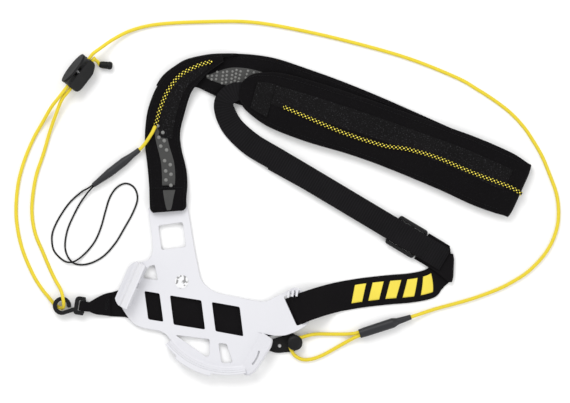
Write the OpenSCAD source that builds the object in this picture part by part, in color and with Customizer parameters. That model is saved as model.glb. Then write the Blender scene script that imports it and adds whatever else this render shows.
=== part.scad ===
// Carrying harness for an avalanche transceiver, lying flat on a table.
// Millimetres, +Z up. The origin is on the table, under the cradle, on the belt's centre line.
// +X runs along the belt towards the slotted wing, +Y points to the neck and the shoulder strap.

/* [Webbing] */
// Width of the belt webbing
belt_w = 25; // [22:1:26]
// Width of the shoulder webbing
shoulder_w = 20; // [16:1:20]
// Thickness of all webbing
web_t = 1.4; // [1:0.2:1.4]

/* [Cradle] */
// Thickness of the moulded plate and walls
plate_t = 2.2; // [1.8:0.1:2.4]
// Height of the curved lower wall above the plate's top
lower_wall_h = 8; // [5:1:10]
// Height of the end wall above the plate's top
end_wall_h = 10; // [8:1:12]
// Slope of the slotted wing in degrees
wing_slope = 9; // [7:1:10]
// Diameter of the round sticker
label_d = 11.4; // [8:0.2:12]

/* [Shoulder strap] */
// Thickness of the outer cover and of the lining
skin_t = 0.8; // [0.6:0.1:1]
// Thickness of the foam core
foam_t = 2.8; // [2:0.2:3]

/* [Cords] */
// Diameter of the elastic waist cord and of the leash
cord_d = 3; // [2.6:0.2:3]
// Diameter of the thin loop
loop_d = 1.5; // [1.2:0.1:1.6]

/* [Cord lock] */
// Length of the lock along the cords
lock_l = 29; // [26:1:30]
// Travel of the press button
press = 2.5; // [1.5:0.5:2.5]
// Roll of the lock about the cords in degrees
lock_roll = 30; // [20:5:30]

/* [Hook, slide and button] */
// Width of the hook's bow, arm and bar
hook_wire = 3.4; // [3:0.2:3.6]
// Radius of the hook's bow, to its middle line
hook_bow_r = 6; // [5.8:0.1:6.4]
// Size of the three-bar slide along the webbing
slide_l = 28; // [22:1:28]
// Diameter of the button's head
button_d = 13; // [11:0.5:13.5]

/* [Hidden] */
$fn = 48;

// ---------- small helpers ----------
function unit(v) = v / norm(v);
function flat2(p) = [p[0], p[1]];
function along(a, b, t) = a + (b - a) * t;
function pick(list, i) = list[min(max(i, 0), len(list) - 1)];

// A strip station is [left edge point, right edge point, face normal].
// Stations of a strip along centre points [x, y, z, width, tilt]; side is 1 face up, -1 face down.
// The tilt, 0 if left out, is how far the right edge stands above the middle.
function strip_run(path, side = 1) = [
  for (i = [0 : len(path) - 1])
    let (d = unit(flat2(pick(path, i + 1)) - flat2(pick(path, i - 1))))
    let (tilt = len(path[i]) > 4 ? [0, 0, path[i][4]] : [0, 0, 0])
    let (l = [-d[1], d[0], 0] * side * path[i][3] / 2 - tilt)
    let (c = [path[i][0], path[i][1], path[i][2]])
    [c + l, c - l, [0, 0, side]]
];

// Stations round a fold with its axis from left point a to right point b.
// The direction out points away from the fold.
function fold_run(a, b, out, r, face = -1, steps = 6) = [
  for (k = [0 : steps])
    let (t = -90 + 180 * k / steps)
    let (m = [out[0] * cos(t), out[1] * cos(t), sin(t)])
    [a + m * r, b + m * r, m * face]
];

// Solid strip between offsets lo and hi along the face normal; trim narrows both edges.
module strip(stations, lo, hi, trim = 0) {
  n = len(stations);
  points = [
    for (s = stations)
      let (e = unit(s[0] - s[1]) * trim)
      each [s[0] - e + s[2] * lo, s[1] + e + s[2] * lo, s[1] + e + s[2] * hi, s[0] - e + s[2] * hi]
  ];
  faces = concat(
    [[0, 1, 2, 3]],
    [for (i = [0 : n - 2]) for (k = [0 : 3])
      let (j = (k + 1) % 4)
      each [[4 * i + k, 4 * i + 4 + k, 4 * i + 4 + j], [4 * i + k, 4 * i + 4 + j, 4 * i + j]]],
    [[4 * n - 1, 4 * n - 2, 4 * n - 3, 4 * n - 4]]
  );
  polyhedron(points, faces, convexity = 6);
}

// Round tube with 8 sides along a list of points.
module tube(path, d) {
  n = len(path);
  sides = 8;
  points = [
    for (i = [0 : n - 1])
      let (t = unit(pick(path, i + 1) - pick(path, i - 1)))
      let (u = unit(cross(t, abs(t[2]) > 0.9 ? [1, 0, 0] : [0, 0, 1])))
      let (v = cross(u, t))
      for (k = [0 : sides - 1]) path[i] + (u * cos(45 * k) + v * sin(45 * k)) * d / 2
  ];
  faces = concat(
    [[for (k = [0 : sides - 1]) k]],
    [for (i = [0 : n - 2]) for (k = [0 : sides - 1])
      let (a = i * sides + k)
      let (b = i * sides + (k + 1) % sides)
      each [[a, a + sides, b + sides], [a, b + sides, b]]],
    [[for (k = [sides - 1 : -1 : 0]) (n - 1) * sides + k]]
  );
  polyhedron(points, faces, convexity = 10);
}

// Outline with corners [x, y, radius] rounded by short arcs.
function rounded(corners, steps = 4) = [
  for (i = [0 : len(corners) - 1])
    let (n = len(corners))
    let (p = flat2(corners[i]))
    let (a = flat2(corners[(i + n - 1) % n]) - p)
    let (b = flat2(corners[(i + 1) % n]) - p)
    let (r = min(corners[i][2], 0.45 * norm(a), 0.45 * norm(b)))
    each r == 0 ? [p] : [
      for (k = [0 : steps])
        let (t = k / steps)
        p + unit(a) * r * (1 - t) * (1 - t) + unit(b) * r * t * t
    ]
];

module rod(a, b, r) {
  v = b - a;
  translate(a)
    rotate([0, acos(v[2] / norm(v)), atan2(v[1], v[0])])
      cylinder(h = norm(v), r = r);
}

// Solid of revolution of a [distance, radius] profile that runs from a towards b.
module turned(a, b, profile) {
  v = b - a;
  last = len(profile) - 1;
  translate(a)
    rotate([0, acos(v[2] / norm(v)), atan2(v[1], v[0])])
      rotate_extrude()
        polygon(concat([[0, profile[0][0]]], [for (q = profile) [q[1], q[0]]],
          [[0, profile[last][0]]]));
}

// ---------- cradle ----------
plate_z = 1.8;
seat_z = plate_z + plate_t;
rim_c = [17, 20];
rim_r = 67.5;
wing_x = 46;
wall_a = [-62, 35.5];
wall_b = [-72, -3.6];
corner_a = [38, -41];
corner_b = [50.5, -8];

plate_outline = rounded([
  [-62, 83, 2], [-30, 92, 2], [-18, 55, 6], [-8, 28, 10], [4, 20.5, 8], [32, 19, 6], [48, 19, 0],
  [52, -6, 2], [38, -40, 2], [27, -43, 4], [11, -43, 4], [-1, -40, 4], [-14, -34, 4], [-24, -27, 4],
  [-30, -21, 4], [-36, -19, 4], [-50, -19, 4], [-59, -17, 4], [-68, -8, 4], [-71.5, -3.6, 0],
  [-61.5, 35.5, 0], [-54, 39, 4], [-52, 46, 5], [-54, 56, 4]
]);

windows = [
  [[-51, 69, 2], [-31, 75, 2], [-25, 55, 2], [-45, 49, 2]],
  [[-54, 33, 2], [-49, 36, 2], [-44, 23, 2], [-57, 23, 2]],
  [[-54, 12.3, 1.5], [-41, 12.3, 1.5], [-34, -11, 1.5], [-47, -11, 1.5]],
  [[-32, 12, 1.5], [-5, 12, 1.5], [2, -12, 1.5], [-25, -12, 1.5]],
  [[4, 12, 1.5], [28, 11.6, 1.5], [35, -12.6, 1.5], [11, -12, 1.5]],
  [[-22, -20.5, 1.5], [7, -19.5, 1.5], [9, -33, 2], [7, -35, 2]],
  [[15, -21.5, 2], [22, -21, 2], [29.5, -36, 2], [20.5, -38, 2]]
];

wing_outline = rounded([
  [wing_x - 2, 19, 0], [50, 19.5, 3], [57, 25, 3], [66, 31, 3], [72, 36, 3], [80, 34, 3],
  [90, 12, 3], [88, 6, 3], [80, -1, 4], [70, -6.5, 4], [60, -8, 3], [wing_x - 2, -7, 0]
]);

// End wall in section: distance outwards from its foot line, height above the table.
end_wall_profile = [
  [-7, plate_z], [-2, plate_z], [0.6, 3], [2, 5.4], [2.4, seat_z + end_wall_h - 3],
  [6.6, seat_z + end_wall_h - 0.6], [6.2, seat_z + end_wall_h + 1.2],
  [4.6, seat_z + end_wall_h + 1.2], [0.3, seat_z + end_wall_h - 2.4], [0, 7.2], [-1.2, 5.2],
  [-3.2, seat_z], [-7, seat_z]
];

module along_wall(from, to) {
  d = to - from;
  translate([from[0], from[1], 0])
    rotate([0, 0, atan2(d[1], d[0]) - 90])
      rotate([90, 0, 180])
        linear_extrude(norm(d))
          children();
}

module wing_frame() {
  translate([wing_x, 0, plate_z])
    rotate([0, -wing_slope, 0])
      translate([-wing_x, 0, 0])
        children();
}

module end_wall() {
  // The wall's lip narrows and rounds off towards both ends
  intersection() {
    along_wall(wall_a, wall_b) polygon(end_wall_profile);
    linear_extrude(30)
      polygon(rounded([
        [-40, 42, 0], [-61, 37.6, 3], [-67.5, 34.6, 3], [-73, 27, 5], [-76.4, 17, 5], [-78.6, 8, 4],
        [-77.6, 1, 3], [-73.4, -4, 3], [-66, -6, 3], [-40, -6, 0]
      ]));
  }
  // Raised ribs inside the wall, with a notch between them
  along_wall([-56.8, 33], [-60.6, 18.4])
    polygon([[-1.4, seat_z - 0.4], [1.6, seat_z - 0.4], [1.4, 8.4], [0.9, 9.2], [-0.5, 9.2],
      [-1.2, 8.4]]);
  along_wall([-62, 14.6], [-66.4, -2.4])
    polygon([[-2.4, seat_z - 0.4], [2.4, seat_z - 0.4], [2.2, 8.2], [1.2, 9.4], [-1.4, 9.4],
      [-2.3, 8.2]]);
}

module lower_wall() {
  top = seat_z + lower_wall_h;
  translate([rim_c[0], rim_c[1], 0]) {
    rotate([0, 0, -133])
      rotate_extrude(angle = 65, $fn = 96)
        polygon([
          [rim_r - 10, plate_z], [rim_r - 4.4, plate_z], [rim_r - 2, 2.8], [rim_r - 0.6, 5],
          [rim_r, 8], [rim_r, top], [rim_r - 2, top], [rim_r - 2, 8.6], [rim_r - 3.4, 8],
          [rim_r - 3.6, 6.6], [rim_r - 5, 5.6], [rim_r - 5.6, seat_z + 0.6], [rim_r - 7, seat_z],
          [rim_r - 10, seat_z]
        ]);
    rotate([0, 0, -121.5])
      rotate_extrude(angle = 28, $fn = 96)
        polygon([[rim_r - 0.4, top], [rim_r - 0.4, top - 3], [rim_r + 2.4, top - 1.6],
          [rim_r + 2.4, top]]);
  }
}

module corner_wall() {
  d = corner_b - corner_a;
  translate([corner_a[0], corner_a[1], plate_z + 0.4])
    rotate([0, 0, atan2(d[1], d[0])])
      rotate([-38, 0, 0])
        mirror([0, 1, 0])
          difference() {
            linear_extrude(plate_t)
              polygon(rounded([[-1.5, -0.6, 0], [-2, 9, 3], [5, 14, 4], [30, 15.5, 3], [36, 13, 2],
                [36.5, -0.6, 0]]));
            // Thin curved slot
            translate([14, -9.5, -1])
              rotate([0, 0, 66])
                rotate_extrude(angle = 40)
                  translate([18, 0]) square([1.7, 6]);
          }
}

// Small prongs that hold the belt's upper edge down where it leaves the slot
teeth = [[68.5, 31.6], [72, 33], [75.5, 33.8]];
module wing_teeth() {
  for (p = teeth)
    wing_frame()
      translate([p[0] - 0.9, p[1], 0.5])
        rotate([90, 0, 90])
          linear_extrude(1.8)
            polygon([[0, 0], [0, plate_t + 4.4], [-5.6, plate_t + 4.4], [-5.6, plate_t + 3.4],
              [-2, plate_t + 3.1], [-2, 0]]);
}

module cradle() {
  color([0.92, 0.92, 0.94])
    union() {
      difference() {
        union() {
          translate([0, 0, plate_z]) linear_extrude(plate_t) polygon(plate_outline);
          end_wall();
          lower_wall();
        }
        for (w = windows)
          translate([0, 0, 0.5]) linear_extrude(seat_z + 1) polygon(rounded(w));
      }
      difference() {
        wing_frame() linear_extrude(plate_t) polygon(wing_outline);
        // Slot that the belt comes up through
        wing_frame()
          translate([0, 0, -2])
            linear_extrude(plate_t + 4)
              polygon(rounded([[64, 26, 1.5], [79, 3.5, 1.5], [84.5, 6.5, 1.5], [69.5, 29.5, 1.5]]));
      }
      corner_wall();
      wing_teeth();
    }
}

module cradle_label() {
  color("white")
    translate([-24, 25, seat_z])
      cylinder(h = 0.3, d = label_d);
}

// ---------- belt and hook tab ----------
belt_path = [
  [-66, 0, 0.7, 0], [38, 0, 0.7, 0], [50, 1.5, 0.9, 0], [60, 6, 1.8, 0.5], [67, 10.5, 3.2, 1],
  [72, 13.8, 4.8, 1.1], [74.6, 15.6, 7.4, 1.1], [77.3, 17.3, 10.1, 1.1], [81, 19.7, 11.4, 1.1],
  [86, 22.5, 12, 1], [93, 26, 8.6, 0.5], [102, 30, 2.8, 0], [112, 34, 0.9, 0], [130, 40, 0.7, 0],
  [150, 45.5, 0.7, 0], [170, 50.5, 0.7, 0], [184, 56, 0.7, 0], [193, 63, 0.7, 0]
];
belt_fold_l = [198, 84, 2.4];
belt_fold_r = [204, 60, 2.4];
run_from = [192, 79];
run_dir = [-0.928, 0.372];
function run_pt(s, z) = [run_from[0] + run_dir[0] * s, run_from[1] + run_dir[1] * s, z];

module belt_webbing() {
  low = strip_run([for (p = belt_path) [p[0], p[1], p[2], belt_w, p[3]]]);
  fold = fold_run(belt_fold_l, belt_fold_r, [0.97, 0.24], 1.7);
  back = strip_run([each [for (s = [0, 10, 21]) concat(run_pt(s, 4.3 - s * 0.08), belt_w)]], -1);
  color([0.09, 0.09, 0.1])
    strip(concat(low, fold, back), -web_t / 2, web_t / 2);
}

eye_c = [-103.2, -8.5, 5];
tab_path = [
  [-66.4, 0, 0.7, 25], [-67.6, -0.1, 0.7, 24.6], [-78, -3, 0.7, 21], [-84, -4.4, 0.7, 19],
  [-92, -7, 1, 14], [-98, -8.3, 1.8, 8.2]
];
module hook_tab() {
  r = hook_wire / 2 + 0.3 + web_t / 2;
  half = 4.1;
  low = strip_run(tab_path);
  fold = fold_run(eye_c - [0, half, 0], eye_c + [0, half, 0], [-1, 0], r);
  back = strip_run([[-98, -8.3, 5.6, 8.2], [-92, -7, 3.4, 14], [-84, -4.4, 2.6, 18],
    [-80.8, -3.7, 2.5, 18.6]], -1);
  color([0.08, 0.08, 0.09])
    strip(concat(low, fold, back), -web_t / 2, web_t / 2);
}

module hook_tab_tack() {
  color([0.15, 0.15, 0.16])
    translate([-85, -9.5, 0.4])
      cube([2.4, 11, 3.2]);
}

// ---------- shoulder webbing ----------
web_top_z = 5.9;
tail_z = 2.6;
shoulder_path = [
  [8, 191, 7.3, 13], [0, 192.6, 7.3, 15], [-7.6, 189, 7.2, 16], [-12.4, 181, 6.4, 16.4],
  [-9, 171, 3.6, 18], [0, 160, 1.6, 19], [17, 149, 2.6, 20], [38, 140.6, 4.8, 20],
  [60, 131.9, 5.9, 20]
];
module shoulder_webbing() {
  color([0.11, 0.11, 0.12])
    strip(
      strip_run(concat(
        [for (p = shoulder_path) [p[0], p[1], p[2], p[3] * shoulder_w / 20]],
        [for (s = [110, 60, 20, -2]) concat(run_pt(s, web_top_z), shoulder_w)]
      )),
      -web_t / 2, web_t / 2
    );
}

module shoulder_web_tail() {
  color([0.1, 0.1, 0.11])
    strip(
      strip_run([for (s = [22, 60, 110, 150, 167]) concat(run_pt(s, tail_z), shoulder_w)]),
      -web_t / 2, web_t / 2
    );
}

run_angle = atan2(run_dir[1], run_dir[0]);
module on_run(s, z = 0) {
  translate(run_pt(s, z)) rotate([0, 0, run_angle]) children();
}

module webbing_tack() {
  color([0.15, 0.15, 0.16])
    on_run(16, 3.9) translate([-1.5, -8, 0]) cube([3, 16, 1.3]);
}

slide_s = 36;
module three_bar_slide() {
  inner = shoulder_w / 2 + 0.5;
  rail = 3;
  bar = 3;
  color([0.06, 0.06, 0.06])
    on_run(slide_s) {
      for (side = [-1, 1])
        rotate([0, 0, side * 90 - 90])
          translate([0, inner, 0.2])
            linear_extrude(4.8)
              polygon(rounded([
                [-slide_l / 2, 0, 0.4], [slide_l / 2, 0, 0.4],
                [slide_l / 2 - 1, rail, 2.8], [-slide_l / 2 + 1, rail, 2.8]
              ]));
      for (x = [-slide_l / 2 + bar / 2, slide_l / 2 - bar / 2])
        translate([x - bar / 2, -inner - 0.5, 0.2]) cube([bar, 2 * inner + 1, 1.4]);
      translate([-bar / 2, -inner - 0.5, 3.6]) cube([bar, 2 * inner + 1, 1.3]);
    }
}

// ---------- padded strap ----------
strap_t = foam_t + 2 * skin_t;
low_z = 0.4 + strap_t / 2;
high_z = low_z + strap_t + 0.3;
// Each row is left x, y, right x, y, height of the middle
riser = [
  [-57, 79, -32, 85, 6.5], [-60, 82, -30, 88.4, 6.5], [-62, 91, -31, 96, 6.5],
  [-64, 101, -32, 107, 4.4], [-68, 117, -35, 120, 3], [-73, 135, -42, 137, 3],
  [-75, 150, -45, 150, 3.6], [-75, 166, -44, 165, 5], [-71, 184, -42, 180, 6.6],
  [-63, 199, -40, 187, high_z], [-49, 210, -36, 194, high_z], [-34, 216, -29, 204, high_z],
  [-20, 220, -18, 215, high_z]
];
lower = [
  [-62, 184, -66, 195, low_z], [-52, 185, -57, 204, low_z], [-45, 187, -49, 210, low_z],
  [-38, 190, -34, 216, low_z], [-26, 187, -20, 220, low_z], [-12, 183, -5, 224, low_z],
  [8, 180, 23, 225, low_z], [42, 173, 55, 220, low_z], [76, 166, 86, 214, low_z],
  [110, 158, 120, 206, low_z], [145, 149, 158, 196, low_z], [178, 140, 192, 187, low_z],
  [210, 131, 225, 179, low_z], [230, 125, 243, 173, low_z]
];
upper = [
  [230, 124, 243, 174, high_z], [209, 128, 232, 178, high_z], [177, 137, 200, 186, high_z],
  [131, 148, 150, 195, high_z], [99, 154, 112, 202, high_z], [61, 159, 70, 209, high_z],
  [29, 166, 34, 213, high_z], [12, 174, 16, 211, high_z], [4, 180, 6, 207, high_z],
  [-1, 188, 0, 200, high_z]
];
strap_fold_l = [237.8, 123.2, (low_z + high_z) / 2];
strap_fold_r = [250.8, 170.2, (low_z + high_z) / 2];
function edge_run(rows, side) = [for (r = rows) [[r[0], r[1], r[4]], [r[2], r[3], r[4]], [0, 0, side]]];
long_run = concat(
  edge_run(lower, -1),
  fold_run(strap_fold_l, strap_fold_r, [0.96, -0.27], (high_z - low_z) / 2, 1),
  edge_run(upper, 1)
);
riser_run = edge_run(riser, 1);

module strap_layer(lo, hi, trim) {
  strip(riser_run, lo, hi, trim);
  strip(long_run, lo, hi, trim);
}

module strap_foam() {
  color([0.2, 0.2, 0.2]) strap_layer(-foam_t / 2, foam_t / 2, 2);
}

module strap_cover() {
  color([0.07, 0.07, 0.08]) strap_layer(foam_t / 2, foam_t / 2 + skin_t, 2);
}

module strap_lining() {
  color([0.3, 0.3, 0.3]) strap_layer(-foam_t / 2 - skin_t, -foam_t / 2, 2);
}

// Binding strips along both edges of a run, two wide.
function edge_strip(run, left) = [
  for (s = run)
    let (e = unit(s[0] - s[1]))
    left ? [s[0], s[0] - e * 1.9, s[2]] : [s[1] + e * 1.9, s[1], s[2]]
];
module strap_binding() {
  color([0.12, 0.12, 0.13])
    for (run = [riser_run, long_run])
      for (left = [true, false])
        strip(edge_strip(run, left), -strap_t / 2, strap_t / 2);
}

// Raised pieces lie on the outer face, at fractions of the width and heights above the cover.
function between(rows, f, g, up) = [
  for (r = rows)
    let (l = [r[0], r[1], 0])
    let (w = [r[2] - r[0], r[3] - r[1], 0])
    let (z = [0, 0, r[4] + strap_t / 2 + up])
    [l + w * f + z, l + w * g + z, [0, 0, 1]]
];
function rows_from(list, a, b) = [for (i = [a : b]) list[i]];

module grip_panel() {
  color([0.42, 0.42, 0.42])
    strip(between(rows_from(riser, 0, 6), 0.36, 0.68, 0), 0, 0.6);
}

module grip_dots() {
  color([0.62, 0.62, 0.62])
    for (i = [0 : 4])
      translate([-54 - i * 1.9 + (i % 2) * 4.2, 106 + 9 * i, (i < 2 ? 4.6 : 3.2) + strap_t / 2])
        cylinder(h = 1.2, r = 1.8);
}

module strap_seam_tape() {
  color([0.05, 0.05, 0.05])
    translate([-64, 98.6, 4.6 + strap_t / 2 + 0.75])
      rotate([0, 0, 10])
        cube([32, 2.4, 0.5]);
}

module strap_end_patch() {
  color([0.16, 0.16, 0.16])
    strip(between(rows_from(upper, 6, 8), 0.12, 0.62, 0), 0, 0.9);
}

module leash_channel() {
  color([0.05, 0.05, 0.05]) {
    strip(between(rows_from(riser, 6, 10), 0.14, 0.8, 0), 0, 0.7);
    strip(between(rows_from(upper, 0, 5), 0.4, 0.76, 0), 0, 0.7);
  }
}

// ---------- cords ----------
leash_out = [-68, 147, 7.4];
leash_route = [
  leash_out, [-66, 160, 8.2], [-64, 172, 9.6], [-58, 190, 10.6], [-46, 202, 10.6], [-34, 209, 10.6],
    [-25, 213, 10.4],
  [-19, 211, 7.2], [-14, 206, 3.4], [10, 205, 2.2], [60, 198, 2.2], [120, 184, 2.2], [180, 166, 2.2],
  [230, 150, 2.2], [246, 145, 2.4], [252, 142.6, 6], [247, 144.4, 10.2], [238, 147.6, 10.6],
  [205, 155, 10.6], [173, 162.6, 10.6], [147, 165.6, 10.6], [126, 166.6, 10.6], [93, 171, 10.6],
  [61, 178.8, 10.6], [38, 185, 10.6]
];
sleeve2_a = [-77, 130, 3.9];
sleeve2_b = [-111, 94, 3.9];
leash_free = [leash_out, [-69.2, 144, 7], [-71.2, 139.5, 6], [-73.6, 135, 4.8], [-76.6, 130.6, 4],
  [-84, 122.6, 3.9]];
loop_route = [
  [-104, 102.4, 4.4], [-109.6, 96.4, 4.1], [-114.4, 91.4, 3], [-120, 87, 1.6], [-127.8, 77.6, 0.8],
  [-133.4, 67, 0.8], [-137.5, 56, 0.8], [-139, 46, 0.8], [-136, 35, 0.8], [-129, 28.6, 1],
  [-122, 26.2, 2.4], [-115.5, 28.6, 2.6], [-108, 37, 1], [-102, 48, 0.8], [-99, 60, 0.8],
  [-97.6, 72, 0.8], [-95.6, 86, 0.8], [-91, 95.4, 0.8], [-84, 100, 0.8], [-76.4, 97.6, 0.8],
  [-72.2, 89, 0.8], [-74, 77, 0.8], [-79, 63, 0.8], [-85, 48.2, 0.8], [-93.6, 35.4, 0.8],
  [-105, 27.4, 0.8], [-116, 25.8, 0.8], [-123.2, 31.2, 0.8], [-126.8, 40, 0.8], [-126.8, 53, 0.8],
  [-123.6, 66, 0.8], [-119.4, 78, 1.4], [-113.6, 89, 3], [-109, 95, 4.1], [-103, 101.6, 3.4]
];

module leash_cord() {
  color([0.94, 0.84, 0.24]) tube(leash_free, cord_d);
}

module leash_run() {
  color([0.94, 0.84, 0.24]) tube(leash_route, cord_d);
}

module thin_loop() {
  color([0.07, 0.07, 0.07]) tube(loop_route, loop_d);
}

module leash_sleeve() {
  color([0.24, 0.24, 0.25])
    difference() {
      turned(sleeve2_a, sleeve2_b, [[0, 2.1], [8, 2.5], [16, 3.6], [32, 3.6], [42, 2.6], [49.5, 2]]);
      rod(along(sleeve2_a, sleeve2_b, 0.3), along(sleeve2_a, sleeve2_b, 0.66), 2.9);
      rod(along(sleeve2_a, sleeve2_b, -0.02), along(sleeve2_a, sleeve2_b, 0.32), 1.6);
      rod(along(sleeve2_a, sleeve2_b, 0.64), along(sleeve2_a, sleeve2_b, 1.02), 1.5);
    }
}

module leash_ferrule() {
  color([0.75, 0.75, 0.76])
    difference() {
      rod(along(sleeve2_a, sleeve2_b, 0.34), along(sleeve2_a, sleeve2_b, 0.62), 2.7);
      rod(along(sleeve2_a, sleeve2_b, 0.3), along(sleeve2_a, sleeve2_b, 0.66), 1.6);
    }
}

sleeve1_a = [132, 5, 4.4];
sleeve1_b = [173, 26, 4.4];
module waist_sleeve() {
  color([0.24, 0.24, 0.25])
    difference() {
      turned(sleeve1_a, sleeve1_b, [[0, 3.8], [6, 4.1], [30, 4.2], [34, 2.9], [46, 2.1]]);
      rod(along(sleeve1_a, sleeve1_b, 0.2), along(sleeve1_a, sleeve1_b, 0.5), 3.6);
      for (side = [-1, 1])
        rod(
          along(sleeve1_a, sleeve1_b, -0.02) + side * sleeve1_side,
          along(sleeve1_a, sleeve1_b, 0.22) + side * sleeve1_side,
          1.6
        );
      rod(along(sleeve1_a, sleeve1_b, 0.48), along(sleeve1_a, sleeve1_b, 1.02), 1.6);
    }
}
sleeve1_side = [-0.75, 1.46, 0];

module waist_ferrule() {
  color([0.75, 0.75, 0.76])
    difference() {
      rod(along(sleeve1_a, sleeve1_b, 0.23), along(sleeve1_a, sleeve1_b, 0.47), 3.4);
      for (side = [-1, 1])
        rod(
          along(sleeve1_a, sleeve1_b, 0.2) + side * sleeve1_side,
          along(sleeve1_a, sleeve1_b, 0.5) + side * sleeve1_side,
          1.6
        );
    }
}

// ---------- cord lock ----------
lock_c = [-136.5, 186, 8.8];
lock_dir = 61;
channel = 1.75;
// Point in the lock's channels: a along the cords, d across them along the press direction.
function lock_pt(a, d) = lock_c
  + a * [cos(lock_dir), sin(lock_dir), 0]
  + d * [sin(lock_dir) * cos(lock_roll), -cos(lock_dir) * cos(lock_roll), -sin(lock_roll)];

module lock_frame() {
  translate(lock_c)
    rotate([0, 0, lock_dir])
      rotate([lock_roll, 0, 0])
        rotate([0, 0, 180])
          children();
}

lock_e = 6.4;
plate_in = -4 - press - 0.3;
module lock_body() {
  color([0.11, 0.11, 0.12])
    lock_frame()
      difference() {
        intersection() {
          rotate([0, 90, 0])
            linear_extrude(lock_l, center = true)
              polygon(rounded([[lock_e, -4, 1], [lock_e, 8.2, 3], [-lock_e, 8.2, 3],
                [-lock_e, -4, 1]]));
          linear_extrude(2 * lock_e + 2, center = true)
            polygon(rounded([
              [-lock_l / 2, -4, 2.5], [lock_l / 2, -4, 2], [lock_l / 2, 5.6, 3],
              [lock_l / 2 - 6, 8.2, 3], [-lock_l / 2 + 10, 8.2, 4], [-lock_l / 2, 3, 3]
            ]));
        }
        for (d = [-channel, channel])
          translate([-lock_l, d, 0]) rotate([0, 90, 0]) cylinder(h = 2 * lock_l, r = cord_d / 2 + 0.4);
        translate([-lock_l, -channel, -cord_d / 2 - 0.3]) cube([2 * lock_l, 2 * channel, cord_d + 0.6]);
        translate([-4.3, -5, -3.2]) cube([8.6, 4.7 + press + 5, 6.4]);
        for (z = [-4.75, 4.75])
          translate([0, -5, z]) rotate([-90, 0, 0]) cylinder(h = 6, r = 1.25);
      }
}

module lock_button() {
  color([0.2, 0.2, 0.21])
    lock_frame()
      difference() {
        union() {
          translate([0, plate_in, 0])
            rotate([90, 0, 0])
              linear_extrude(2)
                polygon([for (k = [0 : 35]) [lock_l / 2 * cos(10 * k), lock_e * sin(10 * k)]]);
          translate([-4, plate_in - 0.5, -2.9]) cube([8, 4.6 - plate_in, 5.8]);
        }
        translate([-6, plate_in + 0.01, -cord_d / 2 - 0.35]) cube([12, 3.5 - plate_in, cord_d + 0.7]);
      }
}

module lock_springs() {
  color([0.7, 0.7, 0.72])
    lock_frame()
      for (z = [-4.75, 4.75])
        translate([0, plate_in + 0.1, z])
          rotate([-90, 0, 0])
            difference() {
              cylinder(h = 7.6, r = 1.1);
              translate([0, 0, -1]) cylinder(h = 10, r = 0.7);
            }
}

stop_a = [-121.8, 196.2, 3.8];
stop_b = [-110.6, 196.8, 3.6];
module stopper_barrel() {
  color([0.1, 0.1, 0.1])
    difference() {
      turned(stop_a, stop_b, [[0, 2.1], [1.2, 2.7], [3, 3], [7.4, 3.1]]);
      rod(along(stop_a, stop_b, -0.05), along(stop_a, stop_b, 0.6), 1.55);
    }
}

module stopper_cap() {
  color([0.08, 0.08, 0.08])
    turned(along(stop_a, stop_b, 0.68), stop_b, [[0, 3.2], [0.8, 3.4], [2.4, 3.2], [3.3, 2.3],
      [3.6, 1]]);
}

// ---------- waist cord ----------
button_c = [79, -11];
waist_route = [
  along(sleeve1_a, sleeve1_b, 0.46) + sleeve1_side, [133, 7, 4.2], [124, 3.6, 2.6], [108, 0.8, 1.5],
    [96, -1, 2.2],
  [88.8, -3.4, 3.2], [83, -6, 3.6], [78.6, -6.6, 3.6], [74.9, -9.2, 3.6], [74.9, -13.2, 3.6],
  [77, -17.6, 3.6], [81, -22, 3.2], [88, -24.2, 1.9], [96, -22.4, 1.5], [105, -17.2, 1.5],
  [116, -8.6, 1.5], [125, -1.4, 2.6],
  [132, 3.4, 4.2], along(sleeve1_a, sleeve1_b, 0.46) - sleeve1_side, along(sleeve1_a, sleeve1_b, 0.56),
  [173, 26, 4.2], [181, 30, 2.8], [192, 35.6, 1.5], [208, 42.8, 1.5], [221, 48.8, 1.5],
  [234, 55.8, 1.5], [245, 62.4, 1.5], [255, 70, 1.5], [263, 77, 1.5], [270, 85.4, 1.5],
  [276, 94.6, 1.5], [280.4, 104.4, 1.5], [283, 114.6, 1.5], [283.8, 124, 1.5], [283, 133, 1.5],
  [281, 142, 1.5], [277.6, 151, 1.5], [272.4, 160.4, 1.5], [262, 177.6, 1.5], [252, 190, 1.5],
  [242, 200.6, 1.5], [229, 210.6, 1.5], [214, 218.8, 1.5], [198, 225.8, 1.5], [180, 232.6, 1.5],
  [138, 242.2, 1.5], [92, 248, 1.5], [44, 251.6, 1.5], [0, 252, 1.5], [-42, 245.6, 1.5],
  [-78, 237.8, 1.5], [-99, 229.4, 2.2], [-113, 219.4, 5], [-123, 209.6, 8.6],
  lock_pt(20, -channel), lock_pt(15, -channel), lock_pt(-15, -channel), lock_pt(-27, -channel),
  [-156.4, 153.6, 6.4], [-162, 139.6, 2.6], [-167.6, 124.6, 1.5], [-172.6, 103, 1.5],
  [-174.2, 82, 1.5], [-171.4, 57, 1.5], [-163, 33, 1.5], [-150, 11.6, 1.5], [-140, 0, 1.5],
  [-134.4, -5, 1.5]
];
inner_route = [
  [-129.8, 9, 1.6], [-135.2, 16.6, 1.5], [-144.6, 31.6, 1.5], [-153.8, 47, 1.5], [-159.4, 66, 1.5],
  [-160.4, 92, 1.5],
  [-157, 114, 1.5], [-154.4, 134, 2.4],
    [-151.4, 149, 5.4], lock_pt(-27, channel), lock_pt(-15, channel),
  lock_pt(15, channel), [-126.2, 199.4, 6.9], [-124, 198.6, 5.2], [-122.2, 197, 4.1],
  along(stop_a, stop_b, 0.05), along(stop_a, stop_b, 0.58)
];
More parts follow.
